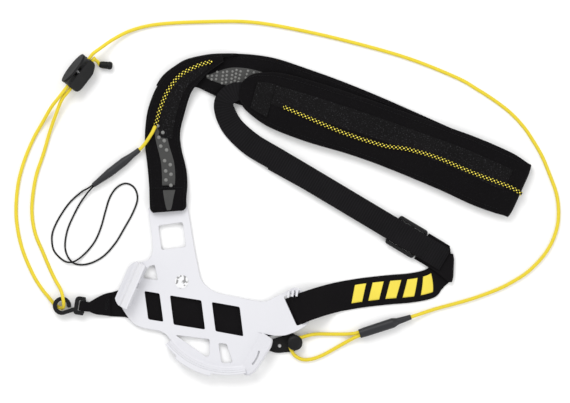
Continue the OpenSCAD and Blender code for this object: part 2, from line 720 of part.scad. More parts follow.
bight_route = [
  [-133.8, -5.5, 1.5], [-129, -9.8, 1.5], [-124.4, -12.6, 1.7], [-121, -13, 3], [-119.6, -11.4, 5.4],
  [-119.8, -8.6, 7.6], [-120.8, -5, 8.5], [-122.4, -0.8, 7.4], [-125.2, 3.6, 4.2],
  [-129.3, 8.35, 1.7]
];

module waist_cord() {
  color([0.94, 0.84, 0.24]) {
    tube(waist_route, cord_d);
    tube(inner_route, cord_d);
  }
}

module hook_bight() {
  color([0.94, 0.84, 0.24]) tube(bight_route, cord_d);
}

// ---------- hook ----------
// Flat bow, arm and eye, with a round bar across the eye for the webbing to turn on.
bow_c = [-121, -11, 5];
eye_half = 6.1;
eye_len = 5.8;
bow_open = [-55, 10];

module hook_outline() {
  r = hook_wire / 2;
  bow = flat2(bow_c - eye_c);
  bow_end = bow + hook_bow_r * [cos(bow_open[0]), sin(bow_open[0])];
  arm_end = [-eye_len, -3.2];
  side = unit([bow_end[1] - arm_end[1], arm_end[0] - bow_end[0]]) * r;
  translate(bow)
    difference() {
      circle(hook_bow_r + r);
      circle(hook_bow_r - r);
      polygon([
        [0, 0], [14 * cos(bow_open[0]), 14 * sin(bow_open[0])],
        [14, 0], [14 * cos(bow_open[1]), 14 * sin(bow_open[1])]
      ]);
    }
  translate(bow + hook_bow_r * [cos(bow_open[1]), sin(bow_open[1])]) circle(r);
  translate(bow_end) circle(r);
  polygon([bow_end + side, bow_end - side, arm_end - side, arm_end + side]);
  difference() {
    polygon(rounded([
      [-eye_len - r, -eye_half - r, 3], [1.2, -eye_half - r, 1], [1.2, eye_half + r, 1],
      [-eye_len - r, eye_half + r, 4]
    ]));
    polygon(rounded([
      [-eye_len + r, -eye_half + r, 1], [4, -eye_half + r, 0], [4, eye_half - r, 0],
      [-eye_len + r, eye_half - r, 1]
    ]));
  }
}

module hook() {
  color([0.08, 0.08, 0.08])
    translate(eye_c) {
      linear_extrude(hook_wire - 0.4, center = true) hook_outline();
      translate([0, -eye_half, 0]) rotate([-90, 0, 0]) cylinder(h = 2 * eye_half, r = hook_wire / 2);
    }
}

// ---------- button ----------
tab_z = 0.3;
tab_t = 1.4;
module button_tab() {
  color([0.1, 0.1, 0.1])
    difference() {
      union() {
        translate([0, 0, tab_z])
          linear_extrude(tab_t)
            polygon(rounded([[37, -31, 3], [44, -14, 3], [56, -13.2, 4], [76, -3, 2], [83, -8, 3],
              [82, -18, 4], [65, -22.4, 3], [54, -20.5, 4]]));
        translate([button_c[0], button_c[1], tab_z]) cylinder(h = tab_t, r = button_d / 2 - 0.4);
      }
      translate([66.6, -15.8, -1]) cylinder(h = 5, r = 1.5);
    }
}

module button_head() {
  r = button_d / 2;
  color([0.14, 0.14, 0.15])
    translate([button_c[0], button_c[1], 0])
      rotate_extrude()
        polygon([
          [0, tab_z + tab_t], [2.6, tab_z + tab_t], [2.4, 5], [3, 5.6], [r - 0.8, 5.6], [r, 6.2],
          [r, 7.4], [r - 0.8, 8.4], [r - 2.6, 8.9], [0, 9.1]
        ]);
}

cradle();
cradle_label();
belt_webbing();
hook_tab();
hook_tab_tack();
shoulder_webbing();
shoulder_web_tail();
webbing_tack();
three_bar_slide();
strap_foam();
strap_cover();
strap_lining();
strap_binding();
strap_end_patch();
grip_panel();
grip_dots();
leash_channel();
strap_seam_tape();
leash_cord();
leash_run();
leash_sleeve();
leash_ferrule();
thin_loop();
waist_cord();
waist_sleeve();
waist_ferrule();
stopper_barrel();
stopper_cap();
lock_body();
lock_button();
lock_springs();
hook();
hook_bight();
button_head();
button_tab();
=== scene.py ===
"""Looks for the transceiver harness.

The cords, the webbing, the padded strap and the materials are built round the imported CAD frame.
"""

import math

import bpy
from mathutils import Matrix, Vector, noise


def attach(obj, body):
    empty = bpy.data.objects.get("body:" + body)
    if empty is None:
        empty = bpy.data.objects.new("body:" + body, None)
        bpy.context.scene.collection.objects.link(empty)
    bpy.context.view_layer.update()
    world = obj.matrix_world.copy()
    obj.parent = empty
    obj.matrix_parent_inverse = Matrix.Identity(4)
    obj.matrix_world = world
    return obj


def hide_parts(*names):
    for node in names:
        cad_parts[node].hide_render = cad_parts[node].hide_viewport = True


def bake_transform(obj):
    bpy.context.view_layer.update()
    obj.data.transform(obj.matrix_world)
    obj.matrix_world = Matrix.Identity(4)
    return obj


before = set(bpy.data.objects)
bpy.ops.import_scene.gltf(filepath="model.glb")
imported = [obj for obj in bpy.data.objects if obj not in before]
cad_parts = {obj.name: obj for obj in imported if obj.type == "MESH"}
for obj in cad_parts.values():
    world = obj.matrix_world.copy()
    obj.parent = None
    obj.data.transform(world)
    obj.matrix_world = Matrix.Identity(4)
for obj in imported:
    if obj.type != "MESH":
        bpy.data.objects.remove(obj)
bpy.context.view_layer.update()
MM = 0.001
ROOT = "harness"

# ---------- camera: from straight above, with its top turned to the left ----------
VIEW_CENTRE = (0.052, 0.106)
VIEW_WIDTH = 0.4845
VIEW_HEIGHT = 2.6
VIEW_ROLL = 9
camera_data = bpy.data.cameras.new("camera")
camera_data.sensor_width = 36
camera_data.lens = 36 * VIEW_HEIGHT / VIEW_WIDTH
camera = bpy.data.objects.new("camera", camera_data)
bpy.context.scene.collection.objects.link(camera)
camera.location = (*VIEW_CENTRE, VIEW_HEIGHT)
camera.rotation_euler = (0, 0, math.radians(VIEW_ROLL))
bpy.context.scene.camera = camera
bpy.context.scene.view_settings.view_transform = "Standard"


# ---------- geometry helpers, all lengths in millimetres ----------
def vec(point):
    return Vector(point[:3])


def smooth(rows, steps):
    """Rows of numbers joined by a Catmull-Rom curve, with so many steps between each two."""
    out = []
    last = len(rows) - 1
    for i in range(last):
        p0, p1, p2, p3 = (rows[min(max(k, 0), last)] for k in (i - 1, i, i + 1, i + 2))
        for step in range(steps):
            t = step / steps
            weights = (
                -0.5 * t + t * t - 0.5 * t**3,
                1 - 2.5 * t * t + 1.5 * t**3,
                0.5 * t + 2 * t * t - 1.5 * t**3,
                -0.5 * t * t + 0.5 * t**3,
            )
            out.append([sum(w * q for w, q in zip(weights, column)) for column in zip(p0, p1, p2, p3)])
    out.append(list(rows[-1]))
    return out


def new_object(name, verts, faces, uvs=None):
    """Smooth-shaded mesh object from points in millimetres."""
    mesh = bpy.data.meshes.new(name)
    mesh.from_pydata([Vector(v) * MM for v in verts], [], faces)
    if uvs:
        layer = mesh.uv_layers.new(name="weave")
        for loop in mesh.loops:
            layer.data[loop.index].uv = uvs[loop.vertex_index]
    for polygon in mesh.polygons:
        polygon.use_smooth = True
    mesh.update()
    obj = bpy.data.objects.new(name, mesh)
    bpy.context.scene.collection.objects.link(obj)
    return obj


def finish_piece(obj, material, body=ROOT, nodes=()):
    obj.data.materials.append(material)
    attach(obj, body)
    if nodes:
        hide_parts(*nodes)
    return obj


def tube(name, path, radius, sides=12, squeeze=1.0):
    """Closed tube along the path; radius is a number or one number a point, squeeze flattens it."""
    path = [vec(p) for p in path]
    radii = radius if isinstance(radius, list) else [radius] * len(path)
    verts, uvs, faces = [], [], []
    run = 0
    side = Vector((0, 0, 1))
    for i, point in enumerate(path):
        ahead = (path[min(i + 1, len(path) - 1)] - path[max(i - 1, 0)]).normalized()
        side = (side - ahead * side.dot(ahead)).normalized()
        other = ahead.cross(side)
        if i:
            run += (point - path[i - 1]).length
        for k in range(sides):
            turn = math.pi + 2 * math.pi * k / sides
            verts.append(point + (side * math.cos(turn) * squeeze + other * math.sin(turn)) * radii[i])
            uvs.append((run * MM, radii[i] * 2 * math.pi * k / sides * MM))
    for i in range(len(path) - 1):
        for k in range(sides):
            a, b = i * sides + k, i * sides + (k + 1) % sides
            faces.append((a, b, b + sides, a + sides))
    faces.append(tuple(range(sides - 1, -1, -1)))
    faces.append(tuple(range(len(path) * sides - sides, len(path) * sides)))
    return new_object(name, verts, faces, uvs)


def strip_run(rows, side=1):
    """Stations of a strip along centre rows (x, y, z, width, tilt), as in part.scad.

    A station is nine numbers: the left edge point, the right edge point and the normal.
    """
    out = []
    for i, (x, y, z, width, *tilt) in enumerate(rows):
        tilt = tilt[0] if tilt else 0
        a, b = rows[max(i - 1, 0)], rows[min(i + 1, len(rows) - 1)]
        d = Vector((b[0] - a[0], b[1] - a[1])).normalized()
        l = Vector((-d.y, d.x)) * side * width / 2
        out.append([x + l.x, y + l.y, z - tilt, x - l.x, y - l.y, z + tilt, 0, 0, side])
    return out


def fold_run(a, b, out, radius, face=-1, steps=12):
    """Stations round a fold, as in part.scad, from below to above; out points away from the fold."""
    stations = []
    for k in range(steps + 1):
        t = math.radians(-90 + 180 * k / steps)
        m = Vector((out[0] * math.cos(t), out[1] * math.cos(t), math.sin(t)))
        stations.append([*(Vector(a) + m * radius), *(Vector(b) + m * radius), *(m * face)])
    return stations


def edge_run(rows, side):
    return [[r[0], r[1], r[4], r[2], r[3], r[4], 0, 0, side] for r in rows]


def strip_point(station, f, lift=0.0):
    left, right, normal = vec(station[0:3]), vec(station[3:6]), vec(station[6:9]).normalized()
    return left.lerp(right, f) + normal * lift


def strip(name, stations, half, edge=8.0, across=14, f0=0.0, f1=1.0, lift=0.0, wave=None):
    """Closed strip about the stations.

    edge is the power that squares its section, and lift moves it off the middle along the normal.
    """
    verts, uvs, faces = [], [], []
    run = 0
    ring = 2 * across
    for i, station in enumerate(stations):
        width = (vec(station[0:3]) - vec(station[3:6])).length
        if i:
            run += (strip_point(station, 0.5) - strip_point(stations[i - 1], 0.5)).length
        for k in range(ring):
            turn = 2 * math.pi * (k + 0.5) / ring
            c, s = math.cos(turn), math.sin(turn)
            u = math.copysign(abs(c) ** (2 / edge), c)
            v = math.copysign(abs(s) ** (2 / edge), s)
            f = f0 + (f1 - f0) * (0.5 - 0.5 * u)
            extra = wave(run, f) if wave and v > 0 else 0
            verts.append(strip_point(station, f, lift + half * v + extra))
            uvs.append((run * MM, f * width * MM))
    for i in range(len(stations) - 1):
        for k in range(ring):
            a, b = i * ring + k, i * ring + (k + 1) % ring
            faces.append((a, a + ring, b + ring, b))
    faces.append(tuple(range(ring)))
    faces.append(tuple(range(len(stations) * ring - 1, len(stations) * ring - ring - 1, -1)))
    return new_object(name, verts, faces, uvs)


# ---------- materials ----------
# Period in metres of Blender's band texture at scale 1
BAND_PERIOD = 0.3142


class Shader:
    """A Principled material with short calls for its nodes."""

    def __init__(self, name, colour, roughness=0.6, **inputs):
        self.material = bpy.data.materials.new(name)
        self.material.use_nodes = True
        self.tree = self.material.node_tree
        self.bsdf = self.tree.nodes["Principled BSDF"]
        self.bsdf.inputs["Base Color"].default_value = (*colour, 1)
        self.bsdf.inputs["Roughness"].default_value = roughness
        for key, value in inputs.items():
            self.bsdf.inputs[key.replace("_", " ")].default_value = value
        self.colour = colour
        self.normal = None

    def node(self, kind, **values):
        made = self.tree.nodes.new(kind)
        for key, value in values.items():
            if hasattr(made, key):
                setattr(made, key, value)
            else:
                made.inputs[key.replace("_", " ")].default_value = value
        return made

    def link(self, a, b):
        self.tree.links.new(a, b)

    def coords(self, uv):
        if uv:
            return self.node("ShaderNodeUVMap", uv_map="weave").outputs["UV"]
        return self.node("ShaderNodeTexCoord").outputs["Object"]

    def noise(self, scale, detail=3.0):
        made = self.node("ShaderNodeTexNoise", Scale=scale, Detail=detail)
        self.link(self.coords(False), made.inputs["Vector"])
        return made.outputs["Fac"]

    def wave(self, period, axis, vector=None):
        """Bands of that period in metres, along the weave's map unless a vector is given."""
        scale = BAND_PERIOD / period
        made = self.node("ShaderNodeTexWave", wave_type="BANDS", bands_direction=axis, Scale=scale)
        self.link(vector or self.coords(True), made.inputs["Vector"])
        return made.outputs["Fac"]

    def crossed(self, period):
        """Two sets of bands that cross on the slant, multiplied: 1 where both are high."""
        mapping = self.node("ShaderNodeMapping")
        mapping.inputs["Rotation"].default_value = (0, 0, math.radians(45))
        self.link(self.coords(True), mapping.inputs["Vector"])
        bands = [self.wave(period, axis, mapping.outputs["Vector"]) for axis in "XY"]
        return self.maths("MULTIPLY", *bands)

    def maths(self, operation, a, b=0.5):
        made = self.node("ShaderNodeMath", operation=operation)
        for socket, value in zip(made.inputs, (a, b)):
            if isinstance(value, (int, float)):
                socket.default_value = value
            else:
                self.link(value, socket)
        return made.outputs[0]

    def tint(self, factor, colour, amount=1.0):
        """Mixes another colour over what the base colour is so far."""
        mix = self.node("ShaderNodeMix", data_type="RGBA")
        socket = self.bsdf.inputs["Base Color"]
        if socket.links:
            self.link(socket.links[0].from_socket, mix.inputs[6])
        else:
            mix.inputs[6].default_value = (*self.colour, 1)
        mix.inputs[7].default_value = (*colour, 1)
        self.link(self.maths("MULTIPLY", factor, amount), mix.inputs[0])
        self.link(mix.outputs[2], socket)
        return self

    def rough(self, factor, low, high):
        made = self.node("ShaderNodeMapRange", To_Min=low, To_Max=high)
        self.link(factor, made.inputs["Value"])
        self.link(made.outputs["Result"], self.bsdf.inputs["Roughness"])
        return self

    def bump(self, height, strength, distance):
        made = self.node("ShaderNodeBump", Strength=strength, Distance=distance)
        self.link(height, made.inputs["Height"])
        if self.normal:
            self.link(self.normal, made.inputs["Normal"])
        self.normal = made.outputs["Normal"]
        self.link(self.normal, self.bsdf.inputs["Normal"])
        return self

    def soft_edges(self, radius):
        made = self.node("ShaderNodeBevel", Radius=radius)
        made.samples = 4
        self.normal = made.outputs["Normal"]
        self.link(self.normal, self.bsdf.inputs["Normal"])
        return self


def woven(name, colour, light, along, across, depth=0.00012, sheen=0.03):
    """Webbing: ribs of that spacing along and threads across, with painted highlights where the threads
    cross, and a little lint.
    """
    s = Shader(name, colour, 0.8, Sheen_Weight=sheen, Sheen_Roughness=0.5, Specular_IOR_Level=0.06)
    weave = s.maths("MULTIPLY", s.wave(along, "X"), s.wave(across, "Y"))
    # Painted highlight: the raised thread crossings are painted lighter than the yarn.
    s.tint(weave, light, 0.8)
    s.tint(s.noise(60), light, 0.35)
    s.rough(s.noise(900, detail=2.0), 0.65, 0.9)
    s.bump(weave, 0.8, depth)
    return s.material


def knitted(name, colour, light, cell, glint, depth=0.00015):
    """Knitted or felted fabric: small cells, soft patches, and threads that catch the light."""
    s = Shader(name, colour, 0.9, Sheen_Weight=0.03, Sheen_Roughness=0.6, Specular_IOR_Level=0.05)
    cells = s.node("ShaderNodeTexVoronoi", Scale=1 / cell)
    s.link(s.coords(True), cells.inputs["Vector"])
    s.tint(s.noise(35), light, 0.5)
    sparkle = s.node("ShaderNodeMapRange", From_Min=0.60, From_Max=0.75)
    s.link(s.noise(1100, detail=1.0), sparkle.inputs["Value"])
    s.tint(sparkle.outputs["Result"], (0.06, 0.06, 0.065), glint)
    s.bump(cells.outputs["Distance"], 0.7, depth)
    s.bump(s.noise(120), 0.35, 0.0006)
    return s.material


def braided(name, colour, shade_and_tone, pitch):
    """Braided cord: two sets of threads that cross on the slant, with painted shade in the hollows between
    them.
    """
    s = Shader(name, colour, 0.6, Sheen_Weight=0.05, Specular_IOR_Level=0.2)
    braid = s.crossed(pitch)
    # Painted shade: the hollows between the threads are darkened; the second tint is tone that differs at
    # random.
    painted_hollow_shade = s.maths("SUBTRACT", 1.0, braid)
    s.tint(painted_hollow_shade, shade_and_tone, 0.45)
    s.tint(s.noise(90), shade_and_tone, 0.25)
    s.bump(braid, 0.8, 0.00018)
    return s.material


def moulded(name, colour, roughness=0.45, edge=0.0004, grain=0.00004, **inputs):
    """Moulded plastic or rubber with soft edges, fine grain and a faint change of gloss."""
    s = Shader(name, colour, roughness, **inputs)
    s.soft_edges(edge)
    s.bump(s.noise(1600, detail=2.0), 0.3, grain)
    s.rough(s.noise(140), roughness - 0.08, roughness + 0.12)
    s.tint(s.noise(50), tuple(min(1, 1.5 * c + 0.004) for c in colour), 0.35)
    return s.material


YELLOW = (0.88, 0.72, 0.05)
YELLOW_SHADE_AND_TONE = (0.50, 0.36, 0.01)
BLACK = (0.0028, 0.0024, 0.0029)
BLACK_LIGHT = (0.008, 0.007, 0.008)
cord_yellow = braided("cord_yellow", YELLOW, YELLOW_SHADE_AND_TONE, 0.0009)
cord_black = braided("cord_black", (0.004, 0.004, 0.004), (0.002, 0.002, 0.002), 0.0006)
belt_cloth = woven("belt_cloth", BLACK, BLACK_LIGHT, 0.0011, 0.0008)
SHOULDER_BLACK, SHOULDER_LIGHT = (0.003, 0.0028, 0.0032), (0.016, 0.015, 0.017)
shoulder_cloth = woven("shoulder_cloth", SHOULDER_BLACK, SHOULDER_LIGHT, 0.0022, 0.0009, 0.0003)
thread = woven("thread", (0.006, 0.006, 0.007), (0.03, 0.03, 0.03), 0.0005, 0.0012)
neoprene = knitted("neoprene", (0.0026, 0.0022, 0.0027), (0.0055, 0.0048, 0.0055), 0.0006, 0.10)
panel_knit = knitted("panel_knit", (0.0038, 0.0035, 0.0038), (0.010, 0.0095, 0.010), 0.0012, 0.55, 0.0003)
black_plastic = moulded("black_plastic", (0.004, 0.004, 0.0045), 0.45, Specular_IOR_Level=0.2)
black_soft = moulded("black_soft", (0.005, 0.005, 0.005), 0.55, grain=0.00008, Specular_IOR_Level=0.15)
shrink = moulded("shrink", (0.015, 0.0155, 0.018), 0.45, 0.0008, 0.00012, Specular_IOR_Level=0.3)
steel = moulded("steel", (0.55, 0.55, 0.56), 0.3, 0.0002, Metallic=1.0)
print_yellow = moulded("print_yellow", (0.70, 0.56, 0.045), 0.55, 0.0001)

# ---------- cords: the same points as in part.scad ----------
CORD_R = 1.5
LOOP_R = 0.75
SLEEVE1 = (Vector((132, 5, 4.4)), Vector((173, 26, 4.4)))
SLEEVE1_SIDE = Vector((-0.75, 1.46, 0))
STOPPER = (Vector((-121.8, 196.2, 3.8)), Vector((-110.6, 196.8, 3.6)))
LOCK_CENTRE = Vector((-136.5, 186, 8.8))
LOCK_ALONG = Vector((math.cos(math.radians(61)), math.sin(math.radians(61)), 0))
LOCK_PRESS = Vector((0.7574, -0.4198, -0.5))
CHANNEL = 1.75


def lock_pt(along, press):
    return LOCK_CENTRE + LOCK_ALONG * along + LOCK_PRESS * press


sleeve_in = SLEEVE1[0].lerp(SLEEVE1[1], 0.46)
ARC = [
    sleeve_in + SLEEVE1_SIDE, (133, 7, 4.2), (124, 3.6, 2.6), (108, 0.8, 1.5), (96, -1, 2.2),
    (88.8, -3.4, 3.2), (83, -6, 3.6), (78.6, -6.6, 3.6), (74.9, -9.2, 3.6), (74.9, -13.2, 3.6),
    (77, -17.6, 3.6), (81, -22, 3.2), (88, -24.2, 1.9), (96, -22.4, 1.5), (105, -17.2, 1.5),
    (116, -8.6, 1.5), (125, -1.4, 2.6), (132, 3.4, 4.2), sleeve_in - SLEEVE1_SIDE,
    SLEEVE1[0].lerp(SLEEVE1[1], 0.56), (173, 26, 4.2), (181, 30, 2.8), (192, 35.6, 1.5),
    (208, 42.8, 1.5), (221, 48.8, 1.5), (234, 55.8, 1.5), (245, 62.4, 1.5), (255, 70, 1.5),
    (263, 77, 1.5), (270, 85.4, 1.5), (276, 94.6, 1.5), (280.4, 104.4, 1.5), (283, 114.6, 1.5),
    (283.8, 124, 1.5), (283, 133, 1.5), (281, 142, 1.5), (277.6, 151, 1.5), (272.4, 160.4, 1.5),
    (262, 177.6, 1.5), (252, 190, 1.5), (242, 200.6, 1.5), (229, 210.6, 1.5), (214, 218.8, 1.5),
    (198, 225.8, 1.5), (180, 232.6, 1.5), (138, 242.2, 1.5), (92, 248, 1.5), (44, 251.6, 1.5),
    (0, 252, 1.5), (-42, 245.6, 1.5), (-78, 237.8, 1.5), (-99, 229.4, 2.2), (-113, 219.4, 5),
    (-123, 209.6, 8.6), lock_pt(20, -CHANNEL), lock_pt(15, -CHANNEL), lock_pt(0, -CHANNEL),
]
STRANDS = [
    lock_pt(-0.5, -CHANNEL), lock_pt(-15, -CHANNEL), lock_pt(-27, -CHANNEL), (-156.4, 153.6, 6.4),
    (-162, 139.6, 2.6), (-167.6, 124.6, 1.5), (-172.6, 103, 1.5), (-174.2, 82, 1.5), (-171.4, 57, 1.5),
    (-163, 33, 1.5), (-150, 11.6, 1.5), (-140, 0, 1.5), (-134.4, -5, 1.5), (-129, -9.8, 1.5),
    (-124.4, -12.6, 1.7), (-121, -13, 3), (-119.6, -11.4, 5.4), (-119.8, -8.6, 7.6), (-120.8, -5, 8.5),
    (-122.4, -0.8, 7.4), (-125.2, 3.6, 4.2), (-129.8, 9, 1.6), (-135.2, 16.6, 1.5), (-144.6, 31.6, 1.5),
    (-153.8, 47, 1.5), (-159.4, 66, 1.5), (-160.4, 92, 1.5), (-157, 114, 1.5), (-154.4, 134, 2.4),
    (-151.4, 149, 5.4), lock_pt(-27, CHANNEL), lock_pt(-15, CHANNEL), lock_pt(15, CHANNEL),
    (-126.2, 199.4, 6.9), (-124, 198.6, 5.2), (-122.2, 197, 4.1), STOPPER[0].lerp(STOPPER[1], 0.05),
    STOPPER[0].lerp(STOPPER[1], 0.58),
]
LEASH_OUT = (-68, 147, 7.4)
LEASH_FREE = [
    (-66.6, 152, 7.6), LEASH_OUT, (-69.2, 144, 7), (-71.2, 139.5, 6), (-73.6, 135, 4.8),
    (-76.6, 130.6, 4), (-84, 122.6, 3.9),
]
LOOP = [
    (-104, 102.4, 4.4), (-109.6, 96.4, 4.1), (-114.4, 91.4, 3), (-120, 87, 1.6), (-127.8, 77.6, 0.8),
    (-133.4, 67, 0.8), (-137.5, 56, 0.8), (-139, 46, 0.8), (-136, 35, 0.8), (-129, 28.6, 1),
    (-122, 26.2, 2.4), (-115.5, 28.6, 2.6), (-108, 37, 1), (-102, 48, 0.8), (-99, 60, 0.8),
    (-97.6, 72, 0.8), (-95.6, 86, 0.8), (-91, 95.4, 0.8), (-84, 100, 0.8), (-76.4, 97.6, 0.8),
    (-72.2, 89, 0.8), (-74, 77, 0.8), (-79, 63, 0.8), (-85, 48.2, 0.8), (-93.6, 35.4, 0.8),
    (-105, 27.4, 0.8), (-116, 25.8, 0.8), (-123.2, 31.2, 0.8), (-126.8, 40, 0.8), (-126.8, 53, 0.8),
    (-123.6, 66, 0.8), (-119.4, 78, 1.4), (-113.6, 89, 3), (-109, 95, 4.1), (-103, 101.6, 3.4),
]


def cord(name, points, radius, material, nodes, steps=5):
    path = [vec(p) for p in smooth([list(vec(p)) for p in points], steps)]
    obj = tube(name, path, radius, sides=14 if radius > 1 else 8)
    obj.data.materials.append(material)
    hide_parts(*nodes)
    return obj, path


def node(name):
    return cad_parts[name]


arc, arc_path = cord("waist_cord_arc", ARC, CORD_R, cord_yellow, ["waist_cord"])
strands, strands_path = cord(
    "waist_cord_strands", STRANDS, CORD_R, cord_yellow, ["waist_cord", "hook_bight"]
)
leash, leash_path = cord("leash_cord_free", LEASH_FREE, CORD_R, cord_yellow, ["leash_cord"])
loop, loop_path = cord("leash_loop", LOOP, LOOP_R, cord_black, ["thin_loop"])
for free in (arc, leash, loop):
    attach(free, ROOT)
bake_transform(strands)

# ---------- webbing ----------
WEB_HALF = 0.7
RUN_FROM, RUN_DIR = Vector((192, 79)), Vector((-0.928, 0.372))


def run_pt(along, z, width):
    return [RUN_FROM.x + RUN_DIR.x * along, RUN_FROM.y + RUN_DIR.y * along, z, width]


BELT = [
    (-66, 0, 0.7, 0), (-30, 0, 0.7, 0), (38, 0, 0.7, 0), (50, 1.5, 0.9, 0), (60, 6, 1.8, 0.5),
    (67, 10.5, 3.2, 1), (72, 13.8, 4.8, 1.1), (74.6, 15.6, 7.4, 1.1), (77.3, 17.3, 10.1, 1.1),
    (81, 19.7, 11.4, 1.1), (86, 22.5, 12, 1), (93, 26, 8.6, 0.5), (102, 30, 2.8, 0), (112, 34, 0.9, 0),
    (130, 40, 0.7, 0), (150, 45.5, 0.7, 0), (170, 50.5, 0.7, 0), (184, 56, 0.7, 0), (193, 63, 0.7, 0),
]
belt_low = strip_run(smooth([(x, y, z, 25, tilt) for x, y, z, tilt in BELT], 6))
belt_fold = fold_run((198, 84, 2.4), (204, 60, 2.4), (0.97, 0.24), 1.7)
belt_back = strip_run([run_pt(s, 4.3 - 0.08 * s, 25) for s in (0, 5, 10, 15, 21)], -1)
belt_turn = smooth([belt_low[-1], belt_fold[0]], 5)[1:-1]
belt_stations = belt_low[:-1] + belt_turn + belt_fold + belt_back
FOLD_FROM, FOLD_TO, FOLD_MIDDLE, FOLD_HALF, FOLD_PULL = 187.0, 200.0, 80.0, 21.0, 4.0


def round_the_fold(obj):
    """Draws both corners of the belt's end fold in, so that its outline is an arc."""
    for vertex in obj.data.vertices:
        near = min(1.0, max(0.0, (vertex.co.x / MM - FOLD_FROM) / (FOLD_TO - FOLD_FROM)))
        away = min(1.15, abs(vertex.co.y / MM - FOLD_MIDDLE) / FOLD_HALF)
        vertex.co.x -= FOLD_PULL * near * near * away * away * MM
    return obj


belt = round_the_fold(strip("belt_webbing", belt_stations, WEB_HALF))
finish_piece(belt, belt_cloth, ROOT, ["belt_webbing"])


def decal(name, stations, material, corners, lift, steps=10):
    """Thin printed patch on a strip: corners are (run in mm, fraction of width), in a ring of four."""
    runs = [0.0]
    for a, b in zip(stations, stations[1:]):
        runs.append(runs[-1] + (strip_point(b, 0.5) - strip_point(a, 0.5)).length)

    def at(run, f):
        i = next((k for k in range(1, len(runs)) if runs[k] >= run), len(runs) - 1)
        t = (run - runs[i - 1]) / (runs[i] - runs[i - 1])
        station = [p + (q - p) * t for p, q in zip(stations[i - 1], stations[i])]
        return strip_point(station, f, lift)

    a, b, c, d = (Vector(p) for p in corners)
    verts, faces, uvs = [], [], []
    for i in range(steps + 1):
        for j in range(steps + 1):
            s, t = i / steps, j / steps
            p = a.lerp(b, s).lerp(d.lerp(c, s), t)
            verts.append(at(p.x, p.y))
            uvs.append((p.x * MM, p.y * 0.025))
    for i in range(steps):
        for j in range(steps):
            k = i * (steps + 1) + j
            faces.append((k, k + steps + 1, k + steps + 2, k + 1))
    obj = round_the_fold(new_object(name, verts, faces, uvs))
    solid = obj.modifiers.new("thickness", "SOLIDIFY")
    solid.thickness = 0.08 * MM
    solid.offset = 0
    obj.data.materials.append(material)
    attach(obj, ROOT)
    return obj


PRINT_FROM, PRINT_STEP, PRINT_BAR, PRINT_SLANT = 199.0, 14.8, 9.4, 5.5
PRINT_TOP, PRINT_FOOT = 0.2, 0.8
for i in range(5):
    x0 = PRINT_FROM + PRINT_STEP * i
    x1 = x0 + PRINT_BAR
    foot = [(x0, PRINT_FOOT), (x1, PRINT_FOOT)]
    ring = foot + [(x1 + PRINT_SLANT, PRINT_TOP), (x0 + PRINT_SLANT, PRINT_TOP)]
    decal(f"belt_print_{i}", belt_stations, print_yellow, ring, WEB_HALF + 0.05)

# Hook tab: webbing that narrows, runs round the hook's bar and is folded back on itself
EYE = Vector((-103.2, -8.5, 5))
TAB_HALF = Vector((0, 4.1, 0))
TAB_LOW = [
    (-66.4, 0, 0.7, 25), (-67.6, -0.1, 0.7, 24.6), (-78, -3, 0.7, 21), (-84, -4.4, 0.7, 19),
    (-92, -7, 1, 14), (-98, -8.3, 1.8, 8.2),
]
TAB_BACK = [(-98, -8.3, 5.6, 8.2), (-92, -7, 3.4, 14), (-84, -4.4, 2.6, 18), (-80.8, -3.7, 2.5, 18.6)]
tab_low = strip_run(smooth(TAB_LOW, 5))
tab_fold = fold_run(EYE - TAB_HALF, EYE + TAB_HALF, (-1, 0), 2.7)
tab_back = strip_run(smooth(TAB_BACK, 5), -1)
tab = strip("hook_tab", tab_low + tab_fold + tab_back, WEB_HALF - 0.05)
finish_piece(tab, belt_cloth, ROOT, ["hook_tab"])

SHOULDER = [
    (8, 191, 7.3, 13), (0, 192.6, 7.3, 15), (-7.6, 189, 7.2, 16), (-12.4, 181, 6.4, 16.4),
    (-9, 171, 3.6, 18), (0, 160, 1.6, 19), (17, 149, 2.6, 20), (38, 140.6, 4.8, 20),
    (60, 131.9, 5.9, 20),
]
shoulder_stations = strip_run(smooth(SHOULDER, 6) + [run_pt(s, 5.9, 20) for s in range(130, -3, -12)])
shoulder = round_the_fold(strip("shoulder_webbing", shoulder_stations, WEB_HALF))
finish_piece(shoulder, shoulder_cloth, ROOT, ["shoulder_webbing"])
TAIL_STRAIGHT, TAIL_END = 132, 167
tail_run = []
for s in range(22, TAIL_END + 1, 5):
    x, y, z, width = run_pt(s, 2.6, 20)
    drift = 1.1 * max(0, (s - TAIL_STRAIGHT) / (TAIL_END - TAIL_STRAIGHT))
    tail_run.append((x - 0.37 * drift, y - 0.93 * drift, z, width))
tail = strip("shoulder_web_tail", strip_run(tail_run), WEB_HALF)
finish_piece(tail, shoulder_cloth, ROOT, ["shoulder_web_tail"])


def stitches(name, path, pitch, radius, nodes=(), body=ROOT):
    """A row of thread stitches along the path, as short capsules in one mesh."""
    verts, faces = [], []
    path = [vec(p) for p in path]
    run, done = 0.0, 0.0
    for a, b in zip(path, path[1:]):
        step = (b - a).length
        ahead = (b - a).normalized()
        across = ahead.cross(Vector((0, 0, 1))).normalized()
        while done + pitch <= run + step:
            start = a + ahead * (done - run)
            first = len(verts)
            for t, size in ((0, 0.3), (0.15, 0.9), (0.35, 1), (0.55, 0.9), (0.7, 0.3)):
                centre = start + ahead * pitch * t + Vector((0, 0, -0.6 * radius * (1 - size)))
                for k in range(6):
                    turn = math.pi * k / 3
                    arm = across * math.cos(turn) + Vector((0, 0, 1)) * math.sin(turn)
                    verts.append(centre + arm * radius * size)
            for ring in range(4):
                for k in range(6):
                    p, q = first + ring * 6 + k, first + ring * 6 + (k + 1) % 6
                    faces.append((p, q, q + 6, p + 6))
            faces.append(tuple(first + k for k in range(5, -1, -1)))
            faces.append(tuple(first + 24 + k for k in range(6)))
            done += pitch
        run += step
    obj = new_object(name, verts, faces)
    return finish_piece(obj, thread, body, nodes)


